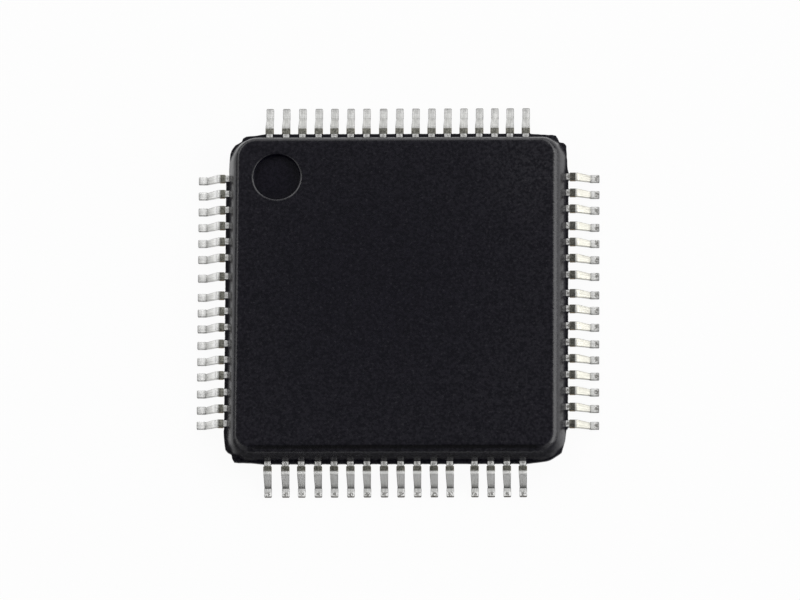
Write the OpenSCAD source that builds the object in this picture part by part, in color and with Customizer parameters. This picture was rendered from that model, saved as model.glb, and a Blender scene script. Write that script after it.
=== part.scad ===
// Thin quad flat pack: a moulded body with gull-wing leads on its four sides, and what it seals in.
// Millimetres, +Z up. The origin is on the seating plane, under the middle of the body.
// +Y is north. Lead 1 is at the north end of the west side, beside the round mark, and the
// leads are counted down the west side, along the south, up the east and back along the north.

/* [Moulded body] */
// Width and length of the body at the level of the leads
body_w = 10; // [9.8:0.05:11]
// Thickness of the body
body_t = 1; // [0.95:0.05:1.4]
// Gap between the seating plane and the underside
standoff = 0.05; // [0.05:0.01:0.15]
// How far below the middle of the body's thickness the lead frame lies
frame_low = 0.1; // [0:0.01:0.12]
// Corner radius at the level of the leads
corner_r = 0.6; // [0.4:0.05:0.8]
// Corner radius of the top and bottom faces
face_corner_r = 0.35; // [0.2:0.05:0.38]
// How far the lower half's sides lean in down to the underside
base_in = 0.21; // [0.1:0.01:0.25]
// How far the upper half's steep sides lean in up to the bevel
draft_in = 0.15; // [0.08:0.01:0.2]
// How far the bevel around the top face goes in
bevel_in = 0.12; // [0.06:0.01:0.16]
// Height of the bevel around the top face
bevel_h = 0.115; // [0.06:0.005:0.16]

/* [Round mark] */
// Radius of the mark at the top face
mark_r = 0.74; // [0.4:0.01:0.85]
// Depth of the mark
mark_depth = 0.06; // [0.03:0.01:0.1]
// How much narrower the mark's floor is than its mouth, all round
mark_slope = 0.05; // [0.02:0.01:0.1]
// Distance of the mark's centre from the edges of the top face
mark_in = 1.1; // [1:0.05:1.6]

/* [Lead rows] */
// Number of leads on the west side
west_leads = 16; // [8:1:16]
// Number of leads on the south side
south_leads = 16; // [13:1:16]
// Number of leads on the east side
east_leads = 16; // [14:1:16]
// Number of leads on the north side
north_leads = 17; // [8:1:17]
// Distance from the centre of a side's first lead to the centre of its last one
row_length = 7.63; // [7.3:0.01:7.8]
// Extra width of the west side's wide gaps
west_gap = 0.09; // [0:0.01:0.15]
// Extra width of the south side's wide gap
south_gap = 0.23; // [0:0.01:0.3]
// Extra width of the east side's wide gaps
east_gap = 0.045; // [0:0.005:0.1]
// How far the west row is moved along its side, in the order of counting
west_shift = 0.08; // [-0.1:0.01:0.1]
// How far the south row is moved along its side
south_shift = -0.06; // [-0.1:0.01:0.1]
// How far the east row is moved along its side
east_shift = -0.035; // [-0.1:0.005:0.1]
// How far the north row is moved along its side
north_shift = 0; // [-0.1:0.01:0.1]

/* [Lead outside the body] */
// Thickness of the lead frame
lead_t = 0.127; // [0.1:0.001:0.16]
// Width of a lead where it leaves the body
root_w = 0.22; // [0.17:0.01:0.24]
// Length of that narrow root, up to the cut stub of the dam bar
root_len = 0.175; // [0.16:0.005:0.25]
// Width of a lead over the stub of the dam bar
stub_w = 0.25; // [0.22:0.005:0.28]
// Length of the stub, where the shoulder ends
stub_len = 0.155; // [0.1:0.005:0.2]
// Radius on the inside of both bends
bend_r = 0.05; // [0.04:0.01:0.12]
// Angle of the slope below the horizontal
slope_angle = 50; // [45:1:75]
// Width of a lead at its heel
heel_w = 0.19; // [0.16:0.01:0.22]
// Width of the foot
foot_w = 0.225; // [0.2:0.005:0.26]
// Length of the flat foot
foot_len = 0.24; // [0.15:0.01:0.5]
// Size of the cut-off corners of the toe
toe_cut = 0.03; // [0.01:0.005:0.05]

/* [Resin between the leads] */
// How far the web of resin stands out between the leads
web_out = 0.1; // [0.05:0.01:0.11]
// Size of the slanted corners where the web meets a lead
web_fillet = 0.04; // [0.02:0.005:0.045]
// Length of the web past the first and last leads' centres
web_end = 0.81; // [0.6:0.01:0.85]
// How far the web's edge draws back at its ends
web_taper = 0.045; // [0.02:0.005:0.05]

/* [Lead frame inside the body] */
// Width of the die paddle
paddle_w = 5.2; // [4.6:0.1:5.6]
// Depth of the paddle below the leads
downset = 0.12; // [0.08:0.01:0.15]
// Gap between the paddle and the ring of finger tips
paddle_gap = 0.45; // [0.35:0.05:0.6]
// Distance of a side's first and last tips from the corners of that ring
tip_corner = 0.45; // [0.4:0.05:0.6]
// Width of a finger at its tip
tip_w = 0.17; // [0.14:0.01:0.18]
// How much further out than half the row's length the fingers turn straight, past the tie bars
finger_straight = 0.585; // [0.4:0.005:0.8]
// Width of a tie bar
tie_w = 0.22; // [0.15:0.01:0.25]
// How far a tie bar's sheared end lies behind the corner's surface
tie_recess = 0.02; // [0.01:0.005:0.05]

/* [Die and bond wires] */
// Width of the die
die_w = 3.5; // [2.8:0.1:4.2]
// Thickness of the die
die_t = 0.25; // [0.2:0.01:0.28]
// Thickness of the adhesive under the die
attach_t = 0.025; // [0.02:0.005:0.04]
// How far the adhesive reaches past the die
attach_out = 0.05; // [0.02:0.01:0.1]
// Radius of a bond wire
wire_r = 0.0125; // [0.01:0.0005:0.015]
// Radius of the ball that bonds the wire to the die
ball_r = 0.03; // [0.02:0.005:0.035]
// Height of that ball
ball_h = 0.015; // [0.01:0.005:0.02]
// Height of the wire loops above the die
loop_h = 0.13; // [0.1:0.01:0.15]
// Distance of the bond pads from the edge of the die
pad_in = 0.1; // [0.06:0.01:0.15]
// Distance of a side's first and last pads from the corners of the die
pad_corner = 0.3; // [0.25:0.05:0.4]
// Distance of a wire's end from the tip of its finger
wire_land = 0.14; // [0.1:0.01:0.2]

/* [Hidden] */
cut = 0.01;          // how far a cutting shape runs past the surface it opens
corner_steps = 6;    // facets in a corner of the body
bend_steps = 5;      // facets in a bend of a lead
wire_sides = 6;      // facets around a wire
half_w = body_w / 2;
top_z = standoff + body_t;
lead_z = standoff + (body_t - lead_t) / 2 - frame_low;      // underside of the lead frame
lead_top = lead_z + lead_t;
face_half = half_w - draft_in - bevel_in;       // half the width of the top face

// Side 0 is west, 1 south, 2 east and 3 north. A side's own frame is the south one's:
// x runs along the side in the order of counting, and -y points away from the body.
counts = [west_leads, south_leads, east_leads, north_leads];
shifts = [west_shift, south_shift, east_shift, north_shift];
// Each side's wide gaps: the number of the lead before the gap, and the extra width
wide_gaps = [
    [[6, west_gap], [7, west_gap]],
    [[12, south_gap]],
    [[9, east_gap], [10, east_gap], [13, east_gap]],
    []
];
function total(list) = len(list) == 0 ? 0 : list * [for (v = list) 1];
function extra_before(side, i) = total([for (g = wide_gaps[side]) if (g[0] <= i) g[1]]);
function pitch(side) =
    (row_length - extra_before(side, counts[side])) / (counts[side] - 1);
// Place of lead i along its side, counted from 0
function lead_x(side, i) =
    shifts[side] - row_length / 2 + i * pitch(side) + extra_before(side, i);

// The bends: u is the distance outwards from the middle of the body
bend_mid = bend_r + lead_t / 2;
slope_len = (lead_z - 2 * bend_mid * (1 - cos(slope_angle))) / sin(slope_angle);
root_u = half_w + root_len;
shoulder_u = root_u + stub_len;
heel_u = shoulder_u + 2 * bend_mid * sin(slope_angle) + slope_len * cos(slope_angle);
toe_u = heel_u + foot_len;

// The fingers inside the body
tip_u = paddle_w / 2 + paddle_gap;
fan_u = row_length / 2 + finger_straight;
fan = (2 * tip_u - 2 * tip_corner) / row_length;
function finger_x(side, i, u) =
    lead_x(side, i) * (fan + (1 - fan) * (u - tip_u) / (fan_u - tip_u));

// The stack in the middle
paddle_z = lead_z - downset;
attach_z = paddle_z + lead_t;
die_z = attach_z + attach_t;
die_top = die_z + die_t;
corner_reach = (half_w - corner_r) * sqrt(2) + corner_r;    // from the axis to a rounded corner
pad_spread = (die_w - 2 * pad_corner) / row_length;

function arc(u, z, r, from, to) = [
    for (k = [0:bend_steps])
        let (a = from + (to - from) * k / bend_steps) [u + r * sin(a), z + r * cos(a)]
];

// The lead seen from its side, in u and z
lead_profile = concat(
    [[tip_u, lead_top]],
    arc(shoulder_u, lead_z - bend_r, bend_r + lead_t, 0, slope_angle),
    arc(heel_u, lead_t + bend_r, bend_r, 180 + slope_angle, 180),
    [[toe_u, lead_t], [toe_u, 0]],
    arc(heel_u, lead_t + bend_r, bend_r + lead_t, 180, 180 + slope_angle),
    arc(shoulder_u, lead_z - bend_r, bend_r, slope_angle, 0),
    [[tip_u, lead_z]]
);

// Stations along the lead seen from above: u, width and place along the side
function stations(side, i) =
    let (x = lead_x(side, i), widen = (stub_w - root_w) / 2)
    [
        [tip_u, tip_w, x * fan],
        [fan_u, root_w, x],
        [root_u, root_w, x],
        [root_u + widen, stub_w, x],
        [shoulder_u, stub_w, x],
        [heel_u - bend_r, heel_w, x],
        [heel_u, foot_w, x],
        [toe_u - toe_cut, foot_w, x],
        [toe_u, foot_w - 2 * toe_cut, x]
    ];

module on_side(side) {
    rotate([0, 0, 90 * (side - 1)]) children();
}

module lead(side, i) {
    rows = stations(side, i);
    last = len(rows) - 1;
    left = [for (s = rows) [s[2] - s[1] / 2, -s[0]]];
    right = [for (k = [last:-1:0]) [rows[k][2] + rows[k][1] / 2, -rows[k][0]]];
    on_side(side) intersection() {
        translate([half_w, 0, 0]) rotate([90, 0, -90])
            linear_extrude(body_w) polygon(lead_profile);
        translate([0, 0, -cut]) linear_extrude(top_z) polygon(concat(left, right));
    }
}

// A strip of the lead frame from the paddle to a corner, raised to the level of the leads
module tie_bar(reach) {
    start = paddle_w / 2;
    foot = paddle_w / sqrt(2) + tie_w;
    knee = foot + downset;
    rotate([90, 0, 0]) translate([0, 0, -tie_w / 2]) linear_extrude(tie_w) polygon([
        [start, paddle_z], [foot, paddle_z], [knee, lead_z], [reach, lead_z],
        [reach, lead_top], [knee, lead_top], [foot, attach_z], [start, attach_z]
    ]);
}

module paddle_shape(reach) {
    translate([-paddle_w / 2, -paddle_w / 2, paddle_z]) cube([paddle_w, paddle_w, lead_t]);
    for (k = [0:3]) rotate([0, 0, 45 + 90 * k]) tie_bar(reach);
}

// A bond wire: rings of points along a path in the upright plane through the pad and the landing
module wire(side, i) {
    pad = [lead_x(side, i) * pad_spread, -(die_w / 2 - pad_in)];
    land_u = tip_u + wire_land;
    land = [finger_x(side, i, land_u), -land_u];
    run = norm(land - pad);
    turn = atan2(land[1] - pad[1], land[0] - pad[0]);
    flat = wire_r * cos(180 / wire_sides);      // height of the wire's middle when it lies down
    low = lead_top + flat;
    path = [
        [0, die_top, ball_r], [0, die_top + ball_h, ball_r], [0, die_top + 2 * ball_h, wire_r],
        [0, die_top + loop_h - 3 * wire_r, wire_r], [3 * wire_r, die_top + loop_h, wire_r],
        [run - 6 * wire_r, low, wire_r], [run, low, wire_r]
    ];
    last = len(path) - 1;
    function lean(k) =
        let (a = path[max(k - 1, 0)], b = path[min(k + 1, last)]) atan2(b[1] - a[1], b[0] - a[0]);
    rings = [
        for (k = [0:last]) for (j = [0:wire_sides - 1])
            let (
                a = 360 * (j + 0.5) / wire_sides,
                up = path[k][2] * cos(a),
                t = lean(k)
            )
            [path[k][0] - up * sin(t), path[k][2] * sin(a), path[k][1] + up * cos(t)]
    ];
    sides = [
        for (k = [0:last - 1]) for (j = [0:wire_sides - 1])
            let (n = (j + 1) % wire_sides, r = k * wire_sides)
            [r + j, r + n, r + n + wire_sides, r + j + wire_sides]
    ];
    near_end = [for (j = [wire_sides - 1:-1:0]) j];
    far_end = [for (j = [0:wire_sides - 1]) last * wire_sides + j];
    on_side(side) translate([pad[0], pad[1], 0]) rotate([0, 0, turn])
        polyhedron(rings, concat(sides, [near_end, far_end]));
}

// The block of resin: rounded squares at five heights, joined into one skin
function rounded_square(z, half, r) = [
    for (q = [0:3]) for (k = [0:corner_steps])
        let (a = 90 * (q + k / corner_steps), m = 90 * q + 45, c = (half - r) * sqrt(2))
        [c * cos(m) + r * cos(a), c * sin(m) + r * sin(a), z]
];

module resin_block() {
    lean_r = corner_r - (corner_r - face_corner_r) * draft_in / (draft_in + bevel_in);
    points = concat(
        rounded_square(standoff, half_w - base_in, face_corner_r),
        rounded_square(lead_z, half_w, corner_r),
        rounded_square(lead_top, half_w, corner_r),
        rounded_square(top_z - bevel_h, half_w - draft_in, lean_r),
        rounded_square(top_z, face_half, face_corner_r)
    );
    n = 4 * (corner_steps + 1);
    skin = [
        for (k = [0:3]) for (j = [0:n - 1])
            let (m = (j + 1) % n) [k * n + m, k * n + j, k * n + n + j, k * n + n + m]
    ];
    polyhedron(points, concat(
        skin, [[for (j = [0:n - 1]) j]], [[for (j = [n - 1:-1:0]) 4 * n + j]]
    ));
}

// The resin that was squeezed between the leads as far as the dam bar
module side_web(side) {
    inner = half_w - web_out;
    edge = half_w + web_out;
    first = lead_x(side, 0) - root_w / 2;
    last = lead_x(side, counts[side] - 1) + root_w / 2;
    for (i = [0:counts[side] - 2]) {
        a = lead_x(side, i) + root_w / 2;
        b = lead_x(side, i + 1) - root_w / 2;
        polygon([
            [a, -inner], [a, -edge - web_fillet], [a + web_fillet, -edge],
            [b - web_fillet, -edge], [b, -edge - web_fillet], [b, -inner]
        ]);
    }
    // The web past each end of the row: where it starts, and which way it goes
    for (end = [[first, -1], [last, 1]]) {
        x = end[0];
        d = end[1];
        tip = x + d * (web_end - root_w / 2);
        polygon([
            [x, -inner], [x, -edge - web_fillet], [x + d * web_fillet, -edge],
            [tip - d * web_out / 2, -edge + web_taper], [tip, -half_w], [tip, -inner]
        ]);
    }
}

module web() {
    translate([0, 0, lead_z]) linear_extrude(lead_t)
        for (side = [0:3]) on_side(side) side_web(side);
}

module mark() {
    translate([-face_half + mark_in, face_half - mark_in, 0]) {
        translate([0, 0, top_z - mark_depth])
            cylinder(h = mark_depth, r1 = mark_r - mark_slope, r2 = mark_r, $fn = 64);
        translate([0, 0, top_z]) cylinder(h = cut, r = mark_r, $fn = 64);
    }
}

module moulded_body() {
    color("#232227") difference() {
        union() {
            resin_block();
            web();
        }
        mark();
        paddle_shape(corner_reach + cut);
        die_attach();
        silicon_die();
        for (side = [0:3]) for (i = [0:counts[side] - 1]) {
            lead(side, i);
            wire(side, i);
        }
    }
}

module die_paddle() {
    color("#b5764a") paddle_shape(corner_reach - tie_recess);
}

module die_attach() {
    w = die_w + 2 * attach_out;
    color("#a8a9ab") translate([-w / 2, -w / 2, attach_z]) cube([w, w, attach_t]);
}

module silicon_die() {
    color("#4b4f5c") translate([-die_w / 2, -die_w / 2, die_z]) cube([die_w, die_w, die_t]);
}

// Neighbours share a node: a group is its side and its first and last places there
lead_share = 2;
wire_share = 4;
function before(side) = total([for (s = [0:1:side - 1]) counts[s]]);
function groups(share) = [
    for (side = [0:3]) for (i = [0:share:counts[side] - 1])
        [side, i, min(i + share, counts[side]) - 1]
];
function two_digits(n) = n < 10 ? str("0", n) : str(n);
function group_name(what, g) =
    let (a = before(g[0]) + g[1] + 1, b = before(g[0]) + g[2] + 1)
    a == b ? str(what, "_", two_digits(a)) : str(what, "_", two_digits(a), "_", two_digits(b));
lead_groups = groups(lead_share);
wire_groups = groups(wire_share);

module lead_group(g) {
    color("#c9c8c2") for (i = [g[1]:g[2]]) lead(g[0], i);
}

module wire_group(g) {
    color("#d9b45b") for (i = [g[1]:g[2]]) wire(g[0], i);
}

moulded_body();
die_paddle();
die_attach();
silicon_die();
for (g = lead_groups)
    lead_group(g);
for (g = wire_groups)
    wire_group(g);
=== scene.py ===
import math
import bpy
import numpy as np
from mathutils import Matrix, Vector


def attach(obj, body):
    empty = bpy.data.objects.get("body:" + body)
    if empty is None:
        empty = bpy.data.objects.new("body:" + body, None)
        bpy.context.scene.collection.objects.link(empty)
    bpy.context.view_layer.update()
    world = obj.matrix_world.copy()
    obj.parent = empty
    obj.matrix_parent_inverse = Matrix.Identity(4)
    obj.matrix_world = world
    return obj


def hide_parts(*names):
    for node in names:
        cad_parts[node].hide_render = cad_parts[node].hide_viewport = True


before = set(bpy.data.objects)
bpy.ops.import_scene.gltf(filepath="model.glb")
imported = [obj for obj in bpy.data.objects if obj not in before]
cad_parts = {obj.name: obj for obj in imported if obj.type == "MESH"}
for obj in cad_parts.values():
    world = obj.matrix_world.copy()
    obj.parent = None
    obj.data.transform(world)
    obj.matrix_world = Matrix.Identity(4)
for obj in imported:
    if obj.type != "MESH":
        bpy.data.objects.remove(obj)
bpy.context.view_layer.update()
print("frame loaded:", len(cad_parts), "nodes")

mm = 0.001      # metres in a millimetre; sizes below are in mm unless a note says otherwise


# sRGB hex to linear light: v/12.92 below 0.04045, else ((v+0.055)/1.055) to the power 2.4
def hexToLinear(text):
    v = np.array([int(text[k:k + 2], 16) for k in (1, 3, 5)]) / 255
    v = np.where(v <= 0.04045, v / 12.92, ((v + 0.055) / 1.055) ** 2.4)
    return (*v.tolist(), 1.0)


# Adds one node and returns it. Inputs go to its sockets in order, or by name or number in a
# dictionary: a plain value is set, a socket or another node's first output is linked. Settings
# are the node's own properties
def addNode(tree, kind, inputs=(), **settings):
    node = tree.nodes.new("ShaderNode" + kind)
    for name, value in settings.items():
        setattr(node, name, value)
    if not isinstance(inputs, dict):
        inputs = dict(enumerate(inputs))
    for name, value in inputs.items():
        if isinstance(value, bpy.types.Node):
            value = value.outputs[0]
        if isinstance(value, bpy.types.NodeSocket):
            tree.links.new(value, node.inputs[name])
        else:
            node.inputs[name].default_value = value
    return node


# A new material and its tree, emptied
def startMaterial(name):
    material = bpy.data.materials.new(name)
    material.use_nodes = True
    material.node_tree.nodes.clear()
    return material, material.node_tree


# Colour ramp from (place, hex) stops
def setStops(ramp, stops):
    elements = ramp.color_ramp.elements
    while len(elements) < len(stops):
        elements.new(1.0)
    for element, (place, colour) in zip(elements, stops):
        element.position = place
        element.color = hexToLinear(colour)


# Puts points (in mm) and faces into a mesh object; smooth, with edges over sharpAngle kept sharp
def makePiece(name, points, faces, material, sharpAngle=32):
    mesh = bpy.data.meshes.new(name)
    mesh.from_pydata((np.asarray(points).reshape(-1, 3) * mm).tolist(), [], faces)
    mesh.update()
    mesh.polygons.foreach_set("use_smooth", np.ones(len(mesh.polygons), bool))
    mesh.set_sharp_from_angle(angle=math.radians(sharpAngle))
    mesh.materials.append(material)
    piece = bpy.data.objects.new(name, mesh)
    bpy.context.scene.collection.objects.link(piece)
    return piece


# Quads of a grid of m rings with n points each, the rings closed round: ring i's point j joins
# j+1 and ring i+1; start is the number of the grid's first point
def gridFaces(m, n, start=0):
    at = start + np.arange(m * n).reshape(m, n)
    turn = np.roll(at, -1, axis=1)
    quads = np.stack([at[:-1], turn[:-1], turn[1:], at[1:]], axis=-1)
    return quads.reshape(-1, 4).tolist()


# Camera: straight down but for a lean towards the south, far away on a long lens
shot = {
    "tilt": 14.5,           # degrees from straight down towards the south
    "turn": 1.75,           # degrees towards the east
    "roll": 0.3,            # degrees, anticlockwise
    "distance": 400,
    "lens": 603,            # focal length on a 36 mm sensor
    "aimRight": 0.06,       # how far right of the body's middle the picture's middle is
    "aimDown": 0.065,
    "bodyMiddle": 0.55,     # height of the body's middle
}


# Camera axes: back points from the object to the eye, right lies level, up is across both,
# and the last two turn about back by the roll
def placeCamera():
    tilt, turn, roll = (math.radians(shot[k]) for k in ("tilt", "turn", "roll"))
    side, south = math.sin(turn), math.sin(tilt)
    back = Vector((side, -south, math.sqrt(1 - side ** 2 - south ** 2)))
    right = Vector((0, 1, 0)).cross(back).normalized()
    up = back.cross(right)
    right, up = (right * math.cos(roll) + up * math.sin(roll),
                 up * math.cos(roll) - right * math.sin(roll))
    aim = Vector((0, 0, shot["bodyMiddle"])) + right * shot["aimRight"] - up * shot["aimDown"]
    camera = bpy.data.cameras.new("camera")
    camera.lens = shot["lens"]
    camera.sensor_width = 36
    camera.clip_start = 0.01
    camera.clip_end = 20
    eye = bpy.data.objects.new("camera", camera)
    place = Matrix((right, up, back)).transposed().to_4x4()
    place.translation = (aim + back * shot["distance"]) * mm
    eye.matrix_world = place
    bpy.context.scene.collection.objects.link(eye)
    bpy.context.scene.camera = eye


placeCamera()
print("camera placed")

# Soft boxes: bearing in degrees from north towards east, height in degrees, size in metres and
# brightness (radiance, 1 is paper white)
softBoxes = {
    "northBox": {"bearing": 0, "height": 22, "size": (0.70, 0.36), "level": 1.2},
    "eastBox": {"bearing": 88, "height": 24, "size": (0.70, 0.42), "level": 2.4},
    "westBox": {"bearing": -92, "height": 38, "size": (0.60, 0.36), "level": 0.66},
    "northEastBox": {"bearing": 45, "height": 42, "size": (0.36, 0.30), "level": 2.3},
    "northWestBox": {"bearing": -45, "height": 42, "size": (0.36, 0.30), "level": 2.2},
    "southEastBox": {"bearing": 124, "height": 32, "size": (0.70, 0.56), "level": 0.52},
    "southWestBox": {"bearing": -124, "height": 32, "size": (0.70, 0.56), "level": 0.42},
    "southCard": {"bearing": 180, "height": 4, "size": (0.50, 0.10), "level": 0.95},
}
room = {
    "boxDistance": 0.62,    # how far each soft box stands from the object, in metres
    "level": 0.055,         # brightness of the rest of the room
}


# A box's lamp: its power is level times pi times its area, and it faces the object
def placeLights():
    for name, box in softBoxes.items():
        bearing, height = math.radians(box["bearing"]), math.radians(box["height"])
        out = Vector((math.sin(bearing) * math.cos(height),
                      math.cos(bearing) * math.cos(height), math.sin(height)))
        lamp = bpy.data.lights.new(name, "AREA")
        lamp.shape = "RECTANGLE"
        lamp.size, lamp.size_y = box["size"]
        lamp.energy = box["level"] * math.pi * lamp.size * lamp.size_y
        holder = bpy.data.objects.new(name, lamp)
        holder.matrix_world = out.to_track_quat("Z", "Y").to_matrix().to_4x4()
        holder.matrix_world.translation = out * room["boxDistance"]
        bpy.context.scene.collection.objects.link(holder)
    world = bpy.data.worlds.new("room")
    world.use_nodes = True
    back = world.node_tree.nodes["Background"]
    back.inputs["Color"].default_value = (1, 1, 1, 1)
    back.inputs["Strength"].default_value = room["level"]
    bpy.context.scene.world = world


placeLights()

table = {
    "half": 1500,           # half its width
    "below": 0.002,         # how far under the feet it lies
    "paper": "#f4f4f4",
    "glow": 0.95,           # share of plain white that the eye and shiny surfaces see in it
    "dimFrom": -4.4, "dimTo": -5.6, "dim": 0.85,    # darker towards the south in reflections
}


# The floor: matt white paper, mixed with plain white for camera, glossy and transmission rays;
# glossy rays then see it fade to black between dimFrom and dimTo
def makeTable():
    material, tree = startMaterial("matt white paper")
    rays = addNode(tree, "LightPath").outputs
    seen = addNode(tree, "Math", (rays["Is Camera Ray"], rays["Is Glossy Ray"]), operation="ADD")
    seen = addNode(tree, "Math", (seen, rays["Is Transmission Ray"]), operation="ADD",
                   use_clamp=True)
    share = addNode(tree, "Math", (seen, table["glow"]), operation="MULTIPLY")
    paper = addNode(tree, "BsdfDiffuse", {"Color": hexToLinear(table["paper"])})
    white = addNode(tree, "Emission", {"Strength": 1.0})
    mix = addNode(tree, "MixShader", (share, paper, white))
    place = addNode(tree, "TexCoord").outputs["Object"]
    y = addNode(tree, "SeparateXYZ", (place,)).outputs["Y"]
    dim = addNode(tree, "MapRange", (y, table["dimFrom"] * mm, table["dimTo"] * mm, 0.0,
                                     table["dim"]))
    dim = addNode(tree, "Math", (dim, rays["Is Glossy Ray"]), operation="MULTIPLY")
    black = addNode(tree, "Emission", {"Strength": 0.0})
    mix = addNode(tree, "MixShader", (dim, mix, black))
    addNode(tree, "OutputMaterial", {"Surface": mix})
    h, z = table["half"], -table["below"]
    corners = [(-h, -h, z), (h, -h, z), (h, h, z), (-h, h, z)]
    makePiece("table", corners, [(0, 1, 2, 3)], material)


makeTable()
print("lights and table placed")

# Black epoxy moulding compound, transfer moulded in a spark-eroded cavity: the eye sees a deep,
# slightly blue black that is matt, with a fine even grain, paler towards the corners, and darker
# and smoother on the round mark, which a polished pin has left
resin = {
    "dark": "#02010d",
    "light": "#12101b",
    "ior": 1.6,             # epoxy crowded with silica
    "roughness": 0.30,
    "pinRoughness": 0.27,
    "grain": 0.085,         # grain width; a real cavity's is about 0.03, drawn coarser to show
    "grainDepth": 0.005,
    "patch": 0.55, "patchShare": 0.18,      # width of the cloudy patches, and their share
    "darkestPlace": (-0.9, 0.5, 1.05),        # the darkest place of the top face
    "paleFrom": 1.6, "paleFull": 6.0,       # how far from it the paling begins, and is full
    "paling": 0.0031,         # how much grey the paling adds, in linear light
    "bloomPlace": (4.1, 4.0, 1.05), "bloomReach": 2.0, "bloom": 0.0036,     # a pale cloud
    "fleck": 0.075, "fleckPale": 0.006,     # width of the stray pale grains, and what they add
    # Painted shade along the south edge of the top, a dark line: how dark, and where its ends fade
    "lineShade": 0.75, "lineEnds": (4.1, 4.5),
}

# The moulded block. Each level holds how far it reaches west, south, east and north, the radii of
# its south-west, south-east, north-east and north-west corners, and its height
block = {
    "half": 5.0, "cornerRadius": (0.69, 0.79, 0.70, 0.86),
    "base": (4.86, 4.80, 4.78, 4.767), "baseCorner": (0.5, 0.5, 0.5, 0.5), "bottom": 0.05,
    "parting": (5.070, 5.01, 5.013, 4.977), "leadBottom": 0.3865, "leadTop": 0.5135,
    "foot": (4.91, 4.85, 4.80, 4.86), "footCorner": (0.60, 0.64, 0.52, 0.70),
    "bevelFoot": 0.935,
    "face": (4.798, 4.675, 4.662, 4.765), "faceCorner": (0.42, 0.42, 0.42, 0.50), "top": 1.05,
    "shift": (0.022, 0.0, 0.0, 0.0),    # how far each corner stands out east or west, all levels
    "flat": 0.13,               # width of the flat ring kept beside the edges of both faces
    "edgeRadius": 0.075,        # rounding of the moulded edges
    "cornerSteps": 14, "sideSteps": 90,
}
# The round mark: from radius its lip slopes to wallTop below the face at wallRadius, and the wall
# then drops steeply to the floor
mark = {
    "x": -3.63, "y": 3.63, "radius": 0.755, "wallRadius": 0.70, "wallTop": 0.019,
    "floorRadius": 0.692, "depth": 0.18, "lipRounding": 0.022, "floorRounding": 0.02,
}
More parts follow.
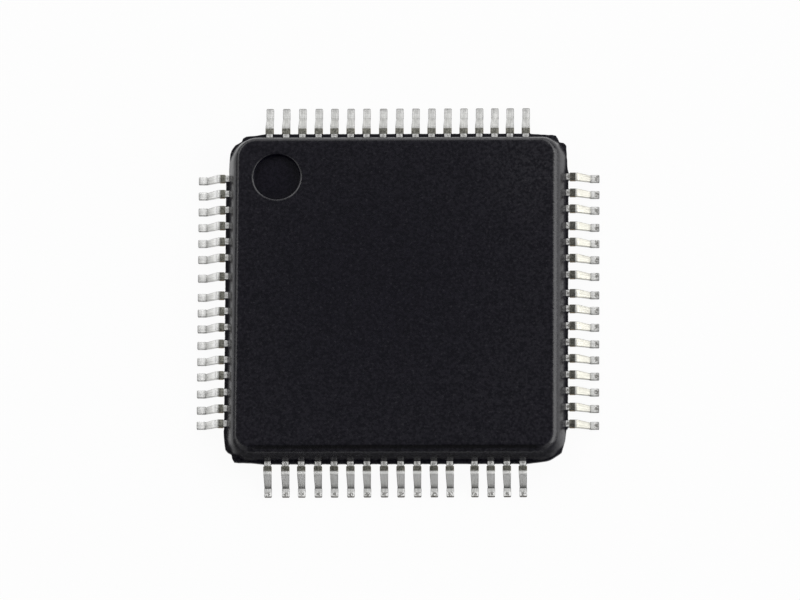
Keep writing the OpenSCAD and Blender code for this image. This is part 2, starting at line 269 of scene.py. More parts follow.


# Colour from a noise of grain width with a faint one of patch width; grey is added that grows
# with the distance from the darkest place, in the cloud and in stray grains, but not on the pin's
# round floor; bump from the grain. Painted shade: less shine in the crease round the mark's floor,
# and a dark line along the south edge of the top
def makeResin():
    material, tree = startMaterial("black epoxy moulding compound, spark-eroded mould")
    r, m = resin, mark
    place = addNode(tree, "TexCoord").outputs["Object"]
    x, y = addNode(tree, "SeparateXYZ", (place,)).outputs[:2]
    grain, patch, fleck = [
        addNode(tree, "TexNoise", {"Vector": place, "Scale": 1 / (width * mm), "Detail": detail})
        for width, detail in ((r["grain"], 1.0), (r["patch"], 3.0), (r["fleck"], 0.0))]
    points = [(m["x"], m["y"], block["top"] - m["depth"]), r["darkestPlace"], r["bloomPlace"]]
    fromMark, fromDarkest, fromBloom = [
        addNode(tree, "VectorMath", (place, [v * mm for v in point]),
                operation="DISTANCE").outputs[1] for point in points]
    onPin = addNode(tree, "MapRange", (fromMark, (m["radius"] + 0.01) * mm,
                                       m["floorRadius"] * mm))
    # Each of these is 1 between two ranges: in the corner round the mark's floor and up its wall,
    # and along the south edge of the top face
    south, foot = -block["face"][1], -block["foot"][1]
    crease, line = [
        addNode(tree, "Math", [addNode(tree, "MapRange", (value, a * mm, b * mm))
                               for a, b in ranges], operation="MULTIPLY")
        for value, ranges in (
            (fromMark, ((m["floorRadius"] - 0.035, m["floorRadius"] - 0.008),
                        (m["wallRadius"] + 0.034, m["wallRadius"] + 0.018))),
            (y, ((south + 0.06, south + 0.01), (south - 0.09, south - 0.05))))]
    near, far = r["lineEnds"]
    ends = addNode(tree, "Math", (x,), operation="ABSOLUTE")
    ends = addNode(tree, "MapRange", (ends, far * mm, near * mm, 0.0, r["lineShade"]))
    line = addNode(tree, "Math", (line, ends), operation="MULTIPLY")

    both = addNode(tree, "Mix", {0: r["patchShare"], 2: grain, 3: patch})
    colour = addNode(tree, "ValToRGB", (both,))
    setStops(colour, [(0.38, r["dark"]), (0.62, r["light"])])
    paling = addNode(tree, "MapRange", (fromDarkest, r["paleFrom"] * mm, r["paleFull"] * mm, 0.0,
                                      r["paling"]))
    bloom = addNode(tree, "MapRange", (fromBloom, r["bloomReach"] * mm, 0.3 * mm, 0.0,
                                       r["bloom"]))
    stray = addNode(tree, "MapRange", (fleck, 0.66, 0.76, 0.0, r["fleckPale"]))
    for more in (bloom, stray):
        paling = addNode(tree, "Math", (paling, more), operation="ADD")
    uneven = addNode(tree, "MapRange", (grain, 0.36, 0.64, 0.2, 1.8))
    paling = addNode(tree, "Math", (paling, uneven), operation="MULTIPLY")
    paling = addNode(tree, "Mix", {0: onPin, 2: paling, 3: 0.0})
    toned = addNode(tree, "VectorMath", (colour, paling), operation="ADD")
    # Painted shade: the line along the south edge of the top is mixed towards black
    toned = addNode(tree, "Mix", {0: line, 6: toned, 7: (0, 0, 0, 1)}, data_type="RGBA")

    # Painted shade: less shine in the crease round the mark's floor and on the south edge's line
    shine = addNode(tree, "MapRange", (crease, 0.0, 1.0, 0.5, 0.05))
    onLine = addNode(tree, "MapRange", (line, 0.0, 1.0, 1.0, 0.6))
    # The south draft below the bevel is duller, so that it hardly mirrors the leads
    onDraft = addNode(tree, "MapRange", (y, (foot - 0.01) * mm, (foot - 0.05) * mm, 1.0, 0.6))
    for factor in (onLine, onDraft):
        shine = addNode(tree, "Math", (shine, factor), operation="MULTIPLY")
    rough = addNode(tree, "Mix", {0: onPin, 2: r["roughness"], 3: r["pinRoughness"]})
    strength = addNode(tree, "MapRange", (onPin, 0.0, 1.0, 1.0, 0.5))
    bump = addNode(tree, "Bump", {"Height": grain, "Strength": strength,
                                  "Distance": r["grainDepth"] * mm})
    shader = addNode(tree, "BsdfPrincipled", {
        "Base Color": toned.outputs[2], "Roughness": rough, "Normal": bump, "IOR": r["ior"],
        "Specular IOR Level": shine})
    addNode(tree, "OutputMaterial", {"Surface": shader})
    return material


resinMaterial = makeResin()


# A rounded square's points, anticlockwise from the middle of the south-east corner: on each
# straight side q runs along the square of corner centres, in each corner it stays; way is the
# outward direction, so a level's point is q scaled to it plus way times its corner radius
def squareLoop(half, radius, cornerSteps, sideSteps):
    reach = half - radius
    turn = np.radians(np.linspace(-45, 45, cornerSteps + 1))
    run = np.linspace(-reach, reach, sideSteps + 1)[1:]
    # The east side, from the middle of the south-east corner to that of the north-east one
    q = np.concatenate([
        np.column_stack([np.full(cornerSteps // 2, reach), np.full(cornerSteps // 2, -reach)]),
        np.column_stack([np.full(sideSteps + 1, reach), np.append(-reach, run)]),
        np.column_stack([np.full(cornerSteps // 2 - 1, reach),
                         np.full(cornerSteps // 2 - 1, reach)])])
    a = np.concatenate([turn[:cornerSteps // 2], np.zeros(sideSteps + 1),
                        turn[cornerSteps // 2 + 1:-1]])
    way = np.column_stack([np.cos(a), np.sin(a)])
    quarter = np.array([[0, -1], [1, 0]])
    turns = [np.linalg.matrix_power(quarter, k).T for k in range(4)]
    return np.concatenate([q @ t for t in turns]) / reach, np.concatenate([way @ t for t in turns])


# A line of rows with its bends rounded: each inner row is replaced by a curve that leaves the
# line at its radius before the bend and joins it again as far after,
# (1-t) squared * a + 2t(1-t) * corner + t squared * b
def roundBends(rows, radii, steps=4):
    rows = np.asarray(rows, float)
    out = [rows[0]]
    t = np.linspace(0, 1, steps + 1)[:, None]
    for k in range(1, len(rows) - 1):
        if radii[k] == 0:
            out.append(rows[k])
            continue
        back, on = rows[k - 1] - rows[k], rows[k + 1] - rows[k]
        a = rows[k] + back * min(0.45, radii[k] / math.hypot(back[0], back[-1]))
        b = rows[k] + on * min(0.45, radii[k] / math.hypot(on[0], on[-1]))
        out.extend((1 - t) ** 2 * a + 2 * t * (1 - t) * rows[k] + t ** 2 * b)
    out.append(rows[-1])
    return np.array(out)


# The block: levels are carried round the rounded square, each point at its corners' centres plus
# way times their radii, both shared out between the corners by where it lies, then one
# flat ring goes from the top face's outline to the mark, and the mark's own profile is turned
# about its axis, with each of its points in the direction of the outline's point from the
# mark's middle; both ends are closed with one flat face
def blockSurface():
    b = block
    e = b["edgeRadius"]
    rim = np.array([b["flat"]] * 4)
    levels = roundBends([
        (*(b["base"] - rim), *np.subtract(b["baseCorner"], 0.1), b["bottom"]),
        (*b["base"], *b["baseCorner"], b["bottom"]),
        (*b["parting"], *b["cornerRadius"], b["leadBottom"]),
        (*b["parting"], *b["cornerRadius"], b["leadTop"]),
        (*b["foot"], *b["footCorner"], b["bevelFoot"]),
        (*b["face"], *b["faceCorner"], b["top"]),
        (*(b["face"] - rim), *np.subtract(b["faceCorner"], 0.05), b["top"]),
    ], [0, e, 0, 0, e, e, 0])
    q, way = squareLoop(b["half"], max(b["cornerRadius"]), b["cornerSteps"], b["sideSteps"])
    west, south, east, north = levels[:, :4].T
    radius, height = levels[:, 4:8], levels[:, 8]
    # Share of each corner in each point, (1 plus or minus qx)/2 times (1 plus or minus qy)/2
    signs = np.array([[-1, -1], [1, -1], [1, 1], [-1, 1]])
    share = ((1 + q[:, None] * signs) / 2).prod(axis=2)
    reach = np.stack([np.column_stack([west, south]), np.column_stack([east, south]),
                      np.column_stack([east, north]), np.column_stack([west, north])], axis=1)
    reach[:, :, 0] += b["shift"]
    centres = signs * (reach - radius[:, :, None])
    xy = np.einsum("nc,lcx->lnx", share, centres)
    xy += way * np.einsum("nc,lc->ln", share, radius)[:, :, None]
    rings = np.concatenate([xy, np.broadcast_to(height[:, None, None], xy.shape[:2] + (1,))], -1)
    m = mark
    lip = roundBends([
        (m["radius"] + 0.03, b["top"]), (m["radius"], b["top"]),
        (m["wallRadius"], b["top"] - m["wallTop"]),
        (m["floorRadius"], b["top"] - m["depth"]),
        (m["floorRadius"] - 0.05, b["top"] - m["depth"])],
        [0, m["lipRounding"], m["lipRounding"], m["floorRounding"], 0])
    n = len(q)
    circle = xy[-1] - np.array([m["x"], m["y"]])
    circle /= np.linalg.norm(circle, axis=1, keepdims=True)
    wells = np.concatenate([
        np.array([m["x"], m["y"]]) + circle[None] * lip[:, :1, None],
        np.broadcast_to(lip[:, 1, None, None], (len(lip), n, 1))], -1)
    points = np.concatenate([rings, wells])
    count = len(points)
    faces = gridFaces(count, n)
    faces.append(list(range(n - 1, -1, -1)))
    faces.append(list(range((count - 1) * n, count * n)))
    return points.reshape(-1, 3), faces


# The lead rows, read from the frame: the toes of each lead node, split where they are apart
sideNames = ["west", "south", "east", "north"]
leadSize = {
    # Lists run west, south, east, north. Tip, fanEnd, rootEnd, shoulder and heel are distances out
    # from the middle of the block; lean is how far the feet stand along the row
    "thickness": 0.127, "rootWidth": 0.20, "rootEnd": (5.187, 5.153, 5.115, 5.085),
    "stubWidth": 0.25, "shoulder": (5.33, 5.30, 5.28, 5.255), "bendRadius": 0.05,
    "heel": (5.7602, 5.7602, 5.7602, 5.685), "heelWidth": (0.20, 0.205, 0.19, 0.215),
    "footWidth": 0.225, "footLength": (0.24, 0.24, 0.24, 0.285),
    "lean": (-0.036, 0.007, 0.036, 0),
    "toeRound": 0.03,       # rounding of the toe's corners
    # Inside the block the fingers close up, at their tips to fanShare of the rows' spacing
    "tip": 3.05, "tipWidth": 0.17, "fanEnd": 4.4, "fanShare": 5.2 / 7.63,
    "edge": 0.016,          # rounding of the stamped edges
    "bendSteps": 10, "slopeSteps": 6, "footSteps": 7, "edgeSteps": 3,
}


# A side's own frame turned to the world: x along the row and -y outwards, by 90 degrees a side
def turnSide(points, side):
    a = math.radians(90 * (side - 1))
    spin = np.array([[math.cos(a), -math.sin(a), 0], [math.sin(a), math.cos(a), 0], [0, 0, 1]])
    return points @ spin.T


# For each lead node: its side, and the places of its leads along that side. The side is the one
# whose outward axis the toes lie furthest along
def readLeads():
    found = {}
    for name in sorted(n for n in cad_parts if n.startswith("leads_")):
        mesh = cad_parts[name].data
        co = np.empty(len(mesh.vertices) * 3)
        mesh.vertices.foreach_get("co", co)
        co = co.reshape(-1, 3) / mm
        reach = [(-co[:, 0]).max(), (-co[:, 1]).max(), co[:, 0].max(), co[:, 1].max()]
        side = int(np.argmax(reach))
        own = turnSide(co, 2 - side)
        toes = np.sort(own[own[:, 1] < -reach[side] + 0.001, 0])
        cuts = np.flatnonzero(np.diff(toes) > 0.25) + 1     # a wider step lies between two leads
        found[name] = (side, [float(part.mean()) for part in np.split(toes, cuts)])
    return found


# How far each lead stands from its even place, along its row (mm)
nudge = {
    "west": (0.025, 0, -0.003, -0.012, -0.019, -0.019, -0.028, -0.025, -0.037,
             -0.043, -0.031, -0.031, -0.052, -0.025, -0.022, -0.056),
    "south": (0.012, 0.048, 0.030, 0.033, 0.021, 0.015, 0.012, 0.030, 0.030,
             0.030, 0.033, 0.015, 0.027, 0.018, 0.003, -0.015),
    "east": (-0.019, 0, 0.003, -0.006, -0.003, -0.012, 0, 0.022, 0,
             0.025, -0.003, -0.003, -0.003, -0.019, -0.028, -0.034),
    "north": (0.015, 0.015, -0.003, -0.021, -0.030, -0.024, -0.024, -0.021, -0.015,
             -0.003, 0.018, 0.018, 0.027, 0.021, 0.033, 0.042, 0.060),
}


# The rows with their nudges, and each lead node's places within its row
leadPlaces = readLeads()
rows = [sorted(x for side, xs in leadPlaces.values() if side == k for x in xs) for k in range(4)]
leadPlaces = {name: (side, [rows[side].index(x) for x in xs])
              for name, (side, xs) in leadPlaces.items()}
evenRows = rows
rows = [[x + d for x, d in zip(row, nudge[key])] for row, key in zip(evenRows, sideNames)]
print("leads read:", dict(zip(sideNames, map(len, rows))))

# The web of resin squeezed out between the leads. corners run anticlockwise, in the world's x
# and y, from the last lead of one side to the first lead of the next
web = {
    "reach": (5.166, 5.081, 5.081, 5.085),      # from the middle, west, south, east and north
    "bareStart": (True, False, False, False),   # no web before the side's first lead
    "fillet": 0.045,        # radius of the quarter circle beside each lead
    "slot": 0.004,          # how far outside the block it stays over a lead
    "bury": 0.12,           # how far it reaches into the block
    "bottom": 0.392, "top": 0.508, "edge": 0.01,
    "ripple": 0.006,        # unevenness of its edge
    "corners": {
        "northWest": [
            (-4.070, 5.075), (-4.163, 5.061), (-4.258, 5.043), (-4.357, 5.031), (-4.464, 5.026),
            (-4.575, 5.014), (-4.667, 4.962), (-4.712, 4.855), (-4.798, 4.798), (-4.895, 4.746),
            (-4.962, 4.667), (-5.014, 4.575), (-5.047, 4.475), (-5.057, 4.368), (-5.066, 4.265),
            (-5.069, 4.165), (-5.075, 4.070), (-5.078, 3.975)],
        "southWest": [
            (-5.182, -4.087), (-5.177, -4.191), (-5.168, -4.298), (-5.153, -4.408), (-5.144, -4.524),
            (-5.124, -4.642), (-5.047, -4.728), (-4.943, -4.787), (-4.919, -4.919), (-4.855, -5.023),
            (-4.721, -5.037), (-4.589, -5.038), (-4.473, -5.044), (-4.365, -5.049), (-4.261, -5.054),
            (-4.164, -5.065)],
        "southEast": [
            (3.880, -5.082), (3.974, -5.070), (4.067, -5.059), (4.160, -5.049), (4.255, -5.035),
            (4.354, -5.024), (4.455, -5.008), (4.552, -4.977), (4.641, -4.927), (4.722, -4.867),
            (4.815, -4.815), (4.898, -4.748), (4.927, -4.641), (4.957, -4.539), (4.980, -4.441),
            (5.001, -4.345), (5.016, -4.249), (5.026, -4.155), (5.032, -4.063)],
        "northEast": [
            (5.062, 3.973), (5.052, 4.066), (5.045, 4.159), (5.043, 4.258), (5.031, 4.357),
            (5.029, 4.466), (5.021, 4.579), (5.017, 4.707), (4.940, 4.785), (4.812, 4.812),
            (4.764, 4.916), (4.704, 5.014), (4.591, 5.042), (4.472, 5.040), (4.365, 5.049),
            (4.261, 5.054), (4.163, 5.061), (4.068, 5.067), (3.974, 5.074)],
    },
}


# One side of the web's edge, in the side's own frame: between two leads the edge lies at its
# reach, and near a lead it climbs along it as a quarter circle, d = f - f cos a and
# e = reach + f - f sin a; over a lead it draws back to the block
def webSide(side):
    w, f, places = web, web["fillet"], rows[side]
    reach, back = w["reach"][side], block["parting"][side] + w["slot"]
    a = np.radians([0, 18, 38, 60, 90])
    rise = np.column_stack([f - f * np.cos(a), reach + f - f * np.sin(a)])
    edge = leadSize["rootWidth"] / 2 - 0.003    # the web laps a little over each lead's side
    pieces = []
    for k, x in enumerate(places):
        if k > 0 or not w["bareStart"][side]:
            pieces.append(np.column_stack([x - edge - rise[::-1, 0], rise[::-1, 1]]))
        pieces.append(np.array([[x - edge + 0.001, back], [x, back], [x + edge - 0.001, back]]))
        pieces.append(np.column_stack([x + edge + rise[:, 0], rise[:, 1]]))
        if k + 1 < len(places):
            gap = np.linspace(x + edge + f, places[k + 1] - edge - f, 6)[1:-1]
            pieces.append(np.column_stack([gap, np.full(4, reach)]))
    line = np.concatenate(pieces)
    return np.column_stack([line[:, 0], -line[:, 1]])


# The web: its outer edge is the four sides and corners one after the other, its inner edge the
# same points drawn into the block. A point is q plus way times far, with q the nearest point of
# the square of corner centres; six rings go round the web's section, from the outer edge up over
# the top, down inside the block and back under. start is the number of its first point
def webSurface(start):
    w = web
    outer = []
    for side, corner in enumerate(["southWest", "southEast", "northEast", "northWest"]):
        flat = webSide(side)
        world = turnSide(np.column_stack([flat, np.zeros(len(flat))]), side)[:, :2]
        outer += [world, np.array(w["corners"][corner])]
    outer = np.concatenate(outer)
    rng = np.random.default_rng(7)
    radius = max(block["cornerRadius"])
    reach = block["half"] - radius
    q = np.clip(outer, -reach, reach)
    way = outer - q
    far = np.linalg.norm(way, axis=1, keepdims=True)
    way = way / far
    far = far + rng.uniform(-0.5, 0.5, far.shape) * w["ripple"]
    e = w["edge"]

    def ring(back, z):
        return np.column_stack([q + way * (far + back), np.full(len(q), z)])

    rings = [ring(0, w["bottom"] + e), ring(0, w["top"] - e), ring(-e, w["top"])]
    inside = q + way * (radius - w["bury"])
    rings += [np.column_stack([inside, np.full(len(q), w["top"])]),
              np.column_stack([inside, np.full(len(q), w["bottom"])]),
              ring(-e, w["bottom"])]
    n = len(q)
    faces = gridFaces(len(rings), n, start)
    at = start + np.arange(n)
    turn = np.roll(at, -1)
    last = (len(rings) - 1) * n
    faces += np.column_stack([last + at, last + turn, turn, at]).tolist()
    return np.concatenate(rings), faces


# The whole moulding: block and web, two closed shells in one mesh
def makeBody():
    points, faces = blockSurface()
    webPoints, webFaces = webSurface(len(points))
    piece = makePiece("mouldedBody", np.concatenate([points, webPoints]), faces + webFaces,
                      resinMaterial)
    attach(piece, "root")
    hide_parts("moulded_body")


makeBody()
print("body moulded")

# Tin plated copper lead frame strip, stamped, trimmed and formed: the eye sees a pale, slightly
# warm grey with a soft sheen and fine drag lines down the slope, frosted white where the forming
# tool pressed the foot, dull olive grey where the dam bar was, and dark marks on root and foot
tin = {
    # Station along the lead, colour, roughness and share of bare metal. Stations: 0 the block's
    # face, 1 the dam bar's stub, 2 the top bend, 3 the slope, 4 the heel bend, 5 the foot, 6 the toe
    "zones": [
        # Painted light in the ramp: shade where the lead leaves the block (0.0), a highlight on the
        # top bend (2.12 to 2.60) and a dark reflection in the heel bend (4.60 to 4.85)
        (-0.2, "#b0734c", 0.40, 1.0), (0.0, "#8c8b89", 0.50, 0.5), (0.15, "#eeeeec", 0.50, 0.1),
        (0.90, "#eeeeec", 0.50, 0.1), (1.04, "#8a8980", 0.50, 0.5), (1.96, "#8a8980", 0.50, 0.5),
        (2.12, "#f2f2ef", 0.45, 0.4), (2.60, "#f2f2ef", 0.42, 0.4), (3.00, "#e2e2df", 0.34, 0.9),
        (4.00, "#dddddb", 0.36, 0.9), (4.60, "#c8c8c5", 0.42, 0.8), (4.85, "#c8c8c5", 0.50, 0.6),
        (4.98, "#f5f5f3", 0.60, 0.1), (5.38, "#f5f5f3", 0.60, 0.1), (5.50, "#f5f5f3", 0.60, 0.2),
        (5.90, "#f0f0ee", 0.60, 0.2), (6.0, "#8a8885", 0.55, 0.5), (6.3, "#7a7570", 0.50, 0.7),
    ],
    "span": (-0.5, 6.5),
    "drag": 0.02, "dragLength": 0.625,  # the drag lines; real ones are 0.005 wide, drawn coarser
    "grain": 0.03,              # width of the plating's mottle, drawn coarser than the real 0.01
    "grainDepth": 0.0016,
    "scuff": 0.05,              # width of the marks on root and foot
    "scuffColour": "#6f6d68",
    # The ovals that the marks fill: half width, middle and half length, on the root in mm out
    # from the block, on the foot by station
    "rootMark": (0.055, 0.07, 0.06), "footMark": (0.075, 5.6, 0.33),
    # How marked the roots and the feet are, west, south, east, north
    "rootWear": (0.5, 0.7, 1.0, 0.6), "footWear": (0.2, 1.0, 1.0, 0.3),
    "cream": "#fffdf4",         # tinge of the east slopes
    "cutColour": "#86765a",     # bare metal at the sheared ends of the dam bar
    "rimWidth": 0.022, "rimTone": 0.55,     # the duller sheared sides, with painted shade on the edges
    # Painted light and shade on each row's plating by station, darkening the dam bar's stub in
    # some rows: factors on its colour, some above 1
    "shade": {
        "west": [
            (0, 1.35), (0.3, 1.6), (0.6, 1.75), (0.9, 1.65), (1.15, 1.75), (1.5, 1.2),
            (2.0, 0.85), (2.2, 0.82), (2.45, 1.2), (2.7, 1.5), (3.0, 1.6), (3.3, 1.15),
            (3.9, 1.02), (4.9, 0.95), (5.15, 1.4), (5.3, 1.7), (5.5, 1.65), (5.7, 1.45),
            (5.9, 1.05), (6, 1.05)],
        "south": [
            (0, 1.4), (0.5, 1.45), (0.75, 1.3), (0.95, 1.1), (1.3, 0.72), (1.7, 0.7),
            (2.0, 0.78), (2.15, 0.95), (2.36, 1.7), (2.7, 1.3), (3.0, 1.5), (3.5, 1.3),
            (3.75, 1.28), (3.88, 0.88), (4.0, 0.52), (4.7, 0.38), (5.0, 0.9), (5.35, 0.9),
            (5.6, 1.45), (5.75, 1.4), (5.9, 1.1), (6, 1.7)],
        "east": [
            (0, 1.1), (0.8, 1.1), (1, 1.25), (1.25, 0.55), (1.75, 0.5), (1.95, 0.3),
            (2.1, 0.72), (2.35, 0.78), (2.8, 0.88), (3.1, 1.07), (3.85, 1.07), (4.2, 0.62),
            (4.9, 0.65), (5.05, 1.02), (5.25, 0.95), (5.4, 1.15), (5.55, 1.2), (5.75, 0.78),
            (6, 0.75)],
        "north": [
            (0, 1.1), (0.3, 1.0), (0.6, 1.15), (1.05, 1.2), (1.3, 1.08), (1.8, 1.1),
            (2.1, 0.85), (2.35, 0.7), (2.65, 0.78), (3.0, 0.9), (3.4, 1.05), (4.4, 1.1),
            (5, 1.0), (5.1, 0.92), (5.3, 1.02), (5.5, 1.0), (5.6, 1.1), (5.75, 1.0),
            (6, 0.85)],
    },
}


# Colour, roughness and metal from two ramps over the stations. The colour is then multiplied by
# the row's painted light and shade, drag lines stretched along the lead, a mottle, a tone for each
# whole lead, blotches on the dam bar's stub and the duller rim with its painted shade; marks on
# root and foot and the bare metal of the sheared ends are mixed in last
def makeTin():
    material, tree = startMaterial("tin plated copper, stamped and formed")
    t = tin
    place = addNode(tree, "Attribute", attribute_name="leadPlace").outputs["Vector"]
    station = addNode(tree, "Attribute", attribute_name="leadStation").outputs["Vector"]
    wear = addNode(tree, "Attribute", attribute_name="leadWear").outputs["Fac"]
    along, across = addNode(tree, "SeparateXYZ", (place,)).outputs[:2]
    at, halfWidth, shade = addNode(tree, "SeparateXYZ", (station,)).outputs

    low, high = t["span"]
    share = addNode(tree, "MapRange", (at, low, high))
    colour, finish = [addNode(tree, "ValToRGB", (share,)) for k in range(2)]
    for ramp in (colour, finish):
        setStops(ramp, [((zone[0] - low) / (high - low), zone[1]) for zone in t["zones"]])
    for element, zone in zip(finish.color_ramp.elements, t["zones"]):
        element.color = (*zone[2:], 0, 1)
    rough, metal = addNode(tree, "SeparateColor", (finish,)).outputs[:2]

    # Noises stretched along and across the lead; the third scale, on each lead's own random
    # number, gives every lead its own pattern
    noises = []
    for scale, detail in (((1 / t["grain"], 1 / t["grain"], 53), 2.0),
                          ((1 / t["scuff"], 1 / t["scuff"], 71), 1.0),
                          ((1 / t["dragLength"], 1 / t["drag"], 37), 2.0),
                          ((0.001, 0.001, 91), 0.0)):
        stretched = addNode(tree, "VectorMath", (place, scale), operation="MULTIPLY")
        noises.append(addNode(tree, "TexNoise", {"Vector": stretched, "Scale": 1.0,
                                                 "Detail": detail}))
    grain, scuff, drag, whole = noises
    # Each of these is 1 on its own stretch of stations and fades at both ends
    onBand, onRoot, onFoot, onSlope = [
        addNode(tree, "Math", [addNode(tree, "MapRange", (at, a, b)) for a, b in ends],
                operation="MULTIPLY")
        for ends in (((0.95, 1.1), (2.1, 1.95)), ((-0.1, 0.1), (1.05, 0.9)),
                     ((5.3, 5.55), (6.1, 6.0)), ((2.1, 2.5), (4.6, 4.1)))]
    # 1 on the sheared sides, falling to 0 a little way in from them
    inward = addNode(tree, "Math", (across,), operation="ABSOLUTE")
    inward = addNode(tree, "Math", (halfWidth, inward), operation="SUBTRACT")
    rim = addNode(tree, "MapRange", (inward, t["rimWidth"], 0.004))

    tone = addNode(tree, "MapRange", (drag, 0.3, 0.7, 0.8, 1.16))
    blotch = addNode(tree, "MapRange", (scuff, 0.35, 0.65, 0.55, 1.35))
    for factor in (shade,
                   addNode(tree, "MapRange", (grain, 0.3, 0.7, 0.92, 1.08)),
                   addNode(tree, "MapRange", (whole, 0.3, 0.7, 0.93, 1.05)),
                   addNode(tree, "Mix", {0: onBand, 2: 1.0, 3: blotch}),
                   addNode(tree, "MapRange", (rim, 0.0, 1.0, 1.0, t["rimTone"]))):
        tone = addNode(tree, "Math", (tone, factor), operation="MULTIPLY")
    toned = addNode(tree, "VectorMath", (colour, tone), operation="MULTIPLY")
    # The east slopes are tinged with cream
    east = addNode(tree, "SeparateXYZ", (addNode(tree, "TexCoord").outputs["Object"],))
    east = addNode(tree, "MapRange", (east, 5.1 * mm, 5.2 * mm))
    cream = addNode(tree, "Math", (east, onSlope), operation="MULTIPLY")
    cream = addNode(tree, "Mix", {0: cream, 6: (1, 1, 1, 1), 7: hexToLinear(t["cream"])},
                    data_type="RGBA").outputs[2]
    toned = addNode(tree, "VectorMath", (toned, cream), operation="MULTIPLY")

    # The marks: 1 inside an oval, where (across / half width) squared plus (way from its middle /
    # half length) squared is small, with an edge that the scuffs make ragged
    marks = []
    for where, part, (wide, middle, long), ragged, solid in (
            (along, onRoot, t["rootMark"], 1.1, 0.4), (at, onFoot, t["footMark"], 1.3, 0.5)):
        oval = addNode(tree, "MapRange", (scuff, 0.3, 0.7, ragged, -ragged))
        away = addNode(tree, "Math", (where, middle), operation="SUBTRACT")
        for value, half in ((across, wide), (away, long)):
            square = addNode(tree, "Math", (value, half), operation="DIVIDE")
            square = addNode(tree, "Math", (square, 2.0), operation="POWER")
            oval = addNode(tree, "Math", (oval, square), operation="ADD")
        inside = addNode(tree, "MapRange", (oval, 1.1, solid))
        for factor in (part, wear):
            inside = addNode(tree, "Math", (inside, factor), operation="MULTIPLY")
        marks.append(inside)
    worn = addNode(tree, "Math", marks, operation="MAXIMUM")
    worn = addNode(tree, "Math", (worn, 0.8), operation="MULTIPLY")
    sheared = addNode(tree, "MapRange", (rim, 0.6, 1.0))
    sheared = addNode(tree, "Math", (sheared, onBand), operation="MULTIPLY")
    for share, paint in ((worn, "scuffColour"), (sheared, "cutColour")):
        toned = addNode(tree, "Mix", {0: share, 6: toned, 7: hexToLinear(t[paint])},
                        data_type="RGBA").outputs[2]
    bump = addNode(tree, "Bump", {"Height": grain, "Strength": 1.0,
                                  "Distance": t["grainDepth"] * mm})
    shader = addNode(tree, "BsdfPrincipled", {"Base Color": toned, "Roughness": rough,
                                              "Metallic": metal, "Normal": bump})
    addNode(tree, "OutputMaterial", {"Surface": shader})
    return material


tinMaterial = makeTin()


# The lead's centre line, in outward distance u and height z: straight out of the block, an arc
# down of the bend radius R, the slope, an arc back to level, and the foot. With the heel w out
# from the shoulder and h below it, the slope's angle solves w sin a - (h - 2R) cos a = 2R.
# Returns u, z, the angle it points down by, the distance along it from the block's face, the
# lead's width, and the station, which runs from one landmark of the lead to the next
def leadPath(side):
    s, half = leadSize, block["parting"][side]
    t, bend = s["thickness"], s["bendRadius"] + s["thickness"] / 2
    shoulder, rootEnd, heel, heelWidth, footLength = (
        s[k][side] for k in ("shoulder", "rootEnd", "heel", "heelWidth", "footLength"))
    level = (block["leadBottom"] + block["leadTop"]) / 2
    wide, high = heel - shoulder, level - t / 2 - 2 * bend
    fall = math.atan2(high, wide) + math.asin(2 * bend / math.hypot(wide, high))
    length = (level - t / 2 - 2 * bend * (1 - math.cos(fall))) / math.sin(fall)
    inner = np.concatenate([
        [s["tip"], 3.3, 3.6, 3.9, 4.15, s["fanEnd"], 4.7, half - 0.05, half],
        np.linspace(half, rootEnd, 5)[1:], rootEnd + np.array([0.015, 0.05, 0.1])])
    a = np.linspace(0, fall, s["bendSteps"] + 1)
    arc = bend * fall
    marks = np.cumsum([0, rootEnd - half, shoulder - rootEnd, arc, length, arc, footLength])
    u = [inner, shoulder + bend * np.sin(a)]
    z = [np.full(len(inner), level), level - bend * (1 - np.cos(a))]
    down = [np.zeros(len(inner)), a]
    k = np.linspace(0, 1, s["slopeSteps"] + 1)[1:-1]
    u.append(u[1][-1] + k * length * math.cos(fall))
    z.append(z[1][-1] - k * length * math.sin(fall))
    down.append(np.full(len(k), fall))
    a = a[::-1]
    u.append(heel - bend * np.sin(a))
    z.append(t / 2 + bend * (1 - np.cos(a)))
    down.append(a)
    toe, r = heel + footLength, s["toeRound"]
    k = np.radians(np.linspace(0, 90, 6))
    u.append(np.concatenate([np.linspace(heel, toe - r, s["footSteps"])[1:],
                             toe - r + r * np.sin(k[1:])]))
    z.append(np.full(len(u[-1]), t / 2))
    down.append(np.zeros(len(u[-1])))
    u, z, down = (np.concatenate(v) for v in (u, z, down))
    along = np.append(0, np.cumsum(np.hypot(np.diff(u), np.diff(z))))
    along -= along[8]       # the ninth point lies in the block's face
    station = np.interp(along, marks, np.arange(len(marks)))
    station[along < 0] = along[along < 0] / 0.1     # inside the block, one for each 0.1 mm
    station[-1] = len(marks) - 0.5      # the sheared end of the toe
    width = np.interp(
        u, [s["tip"], s["fanEnd"], rootEnd, rootEnd + 0.015, shoulder,
            heel - s["bendRadius"], heel, toe],
        [s["tipWidth"], s["rootWidth"], s["rootWidth"], s["stubWidth"], s["stubWidth"],
         heelWidth, s["footWidth"], s["footWidth"]])
    past = np.clip((u - (toe - r)) / r, 0, 1)
    width -= 2 * r * (1 - np.sqrt(1 - past ** 2)) * 0.8     # the toe's rounded corners
    return u, z, down, along, width, station


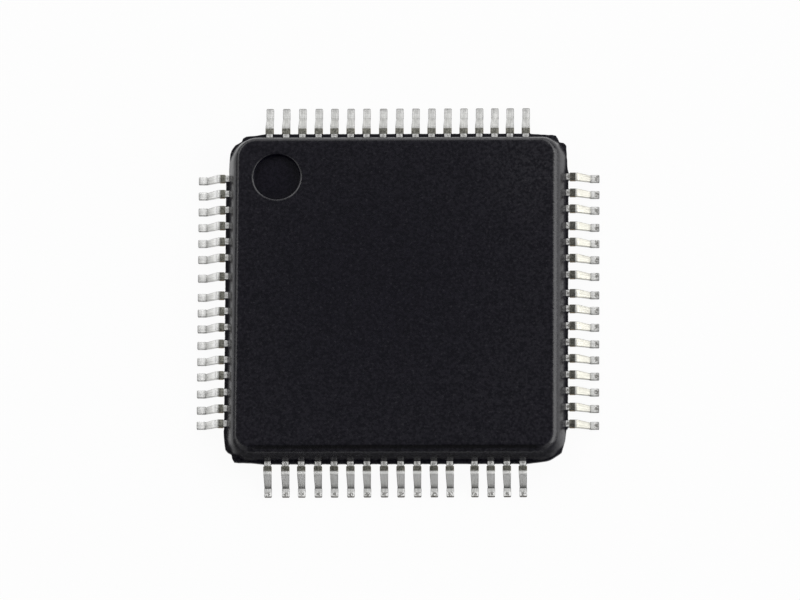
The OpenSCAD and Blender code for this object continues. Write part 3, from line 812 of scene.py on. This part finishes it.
# One node's leads: the section, a rectangle with rounded corners whose corner centres lie at
# plus or minus (width/2 - r, thickness/2 - r), is carried along the centre line, across by the
# row's direction and through by the line's own normal
def makeLeads(name, side, places, rng):
    s = leadSize
    u, z, down, along, width, station = leadPath(side)
    r, t = s["edge"], s["thickness"]
    quarter = np.radians(np.linspace(0, 90, s["edgeSteps"] + 1))
    a = np.concatenate([quarter + math.radians(90 * k) for k in range(4)])
    cornerX = np.repeat([1, -1, -1, 1], len(quarter))
    cornerZ = np.repeat([1, 1, -1, -1], len(quarter))
    across = cornerX * (width[:, None] / 2 - r) + r * np.cos(a)
    through = cornerZ * (t / 2 - r) + r * np.sin(a)
    fan = np.interp(u, [s["tip"], s["fanEnd"]], [s["fanShare"], 1])
    m, n = across.shape
    points, faces, place = [], [], []
    stations = np.zeros((len(places), m, n, 3))
    stations[..., 0] = station[None, :, None]
    stations[..., 1] = width[None, :, None] / 2
    # The third value: the row's painted light and shade at each station
    stations[..., 2] = np.interp(station, *zip(*tin["shade"][sideNames[side]]))[None, :, None]
    bends = [s["fanEnd"], s["fanEnd"] + 0.5, s["shoulder"][side], s["heel"][side]]
    for k, number in enumerate(places):
        even, shift = evenRows[side][number], rows[side][number] - evenRows[side][number]
        middle = even * fan + np.interp(u, bends, [0, shift, shift, shift + s["lean"][side]])
        grid = np.stack([
            middle[:, None] + across,
            -(u[:, None] + through * np.sin(down)[:, None]),
            z[:, None] + through * np.cos(down)[:, None]], axis=-1)
        start = k * m * n
        points.append(grid.reshape(-1, 3))
        faces += gridFaces(m, n, start)
        faces.append(list(range(start + n - 1, start - 1, -1)))
        faces.append(list(range(start + (m - 1) * n, start + m * n)))
        place.append(np.stack([np.broadcast_to(along[:, None], (m, n)), across,
                               np.full((m, n), rng.random())], axis=-1).reshape(-1, 3))
    piece = makePiece(name.replace("leads", "tinnedLeads"),
                      turnSide(np.concatenate(points), side), faces, tinMaterial)
    for title, values in (("leadPlace", np.concatenate(place)), ("leadStation", stations)):
        attribute = piece.data.attributes.new(title, "FLOAT_VECTOR", "POINT")
        attribute.data.foreach_set("vector", values.astype(np.float32).ravel())
    attribute = piece.data.attributes.new("leadWear", "FLOAT", "POINT")
    wear = np.where(stations[..., 0] < 2.5, tin["rootWear"][side], tin["footWear"][side])
    attribute.data.foreach_set("value", wear.astype(np.float32).ravel())
    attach(piece, "root")
    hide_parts(name)


rng = np.random.default_rng(64)
for name, (side, places) in leadPlaces.items():
    makeLeads(name, side, places, rng)
print("leads formed:", sum(map(len, rows)))

# What the block seals in, which would be seen only in a cut: two close colours, metal, roughness
# and grain width of each
innerFinish = {
    # Warm, with a soft sheen
    "die_paddle": ("rolled copper strip", "#b87350", "#a9643f", 1.0, 0.35, 0.4),
    # Dull grey, finely speckled
    "die_attach": ("silver filled epoxy, dispensed", "#a3a4a6", "#8c8d90", 0.6, 0.5, 0.08),
    # Dark, with a bluish gleam
    "silicon_die": ("silicon, ground and diced", "#3b3f49", "#4a4f5a", 0.3, 0.22, 0.25),
    # Bright yellow
    "wires": ("gold wire, drawn", "#e3b45a", "#d9a648", 1.0, 0.2, 0.05),
}
paddle = {
    "barEnd": 6.5,      # how far out along the diagonal its tie bars reach
}


# Two close tones mixed by a noise of the finish's own grain width, with the same noise in the bump
def makeInner(name, light, dark, metallic, roughness, grain):
    material, tree = startMaterial(name)
    place = addNode(tree, "TexCoord").outputs["Object"]
    noise = addNode(tree, "TexNoise", {"Vector": place, "Scale": 1 / (grain * mm), "Detail": 2.0})
    colour = addNode(tree, "ValToRGB", (noise,))
    setStops(colour, [(0.35, dark), (0.65, light)])
    bump = addNode(tree, "Bump", {"Height": noise, "Strength": 0.5, "Distance": 0.002 * mm})
    shader = addNode(tree, "BsdfPrincipled", {"Base Color": colour, "Roughness": roughness,
                                              "Metallic": metallic, "Normal": bump})
    addNode(tree, "OutputMaterial", {"Surface": shader})
    return material


innerMaterials = {key: makeInner(*finish) for key, finish in innerFinish.items()}
for name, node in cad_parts.items():
    key = "wires" if name.startswith("wires_") else name
    if key in innerMaterials:
        node.data.materials.clear()
        node.data.materials.append(innerMaterials[key])


# The paddle with its tie bars drawn back inside the rounder corners of the block: a point further
# out along the diagonal than barEnd, (|x| + |y|) / root 2, is moved back to it
def makePaddle():
    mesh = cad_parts["die_paddle"].data.copy()
    points = np.empty(len(mesh.vertices) * 3)
    mesh.vertices.foreach_get("co", points)
    points = points.reshape(-1, 3) / mm
    out = np.abs(points[:, :2]).sum(axis=1, keepdims=True) / math.sqrt(2)
    over = np.clip(out - paddle["barEnd"], 0, None)
    points[:, :2] -= np.sign(points[:, :2]) * over / math.sqrt(2)
    mesh.vertices.foreach_set("co", (points * mm).ravel())
    piece = bpy.data.objects.new("paddle", mesh)
    bpy.context.scene.collection.objects.link(piece)
    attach(piece, "root")
    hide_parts("die_paddle")


makePaddle()
print("sealed pieces finished")

bpy.context.scene.view_settings.view_transform = "Standard"
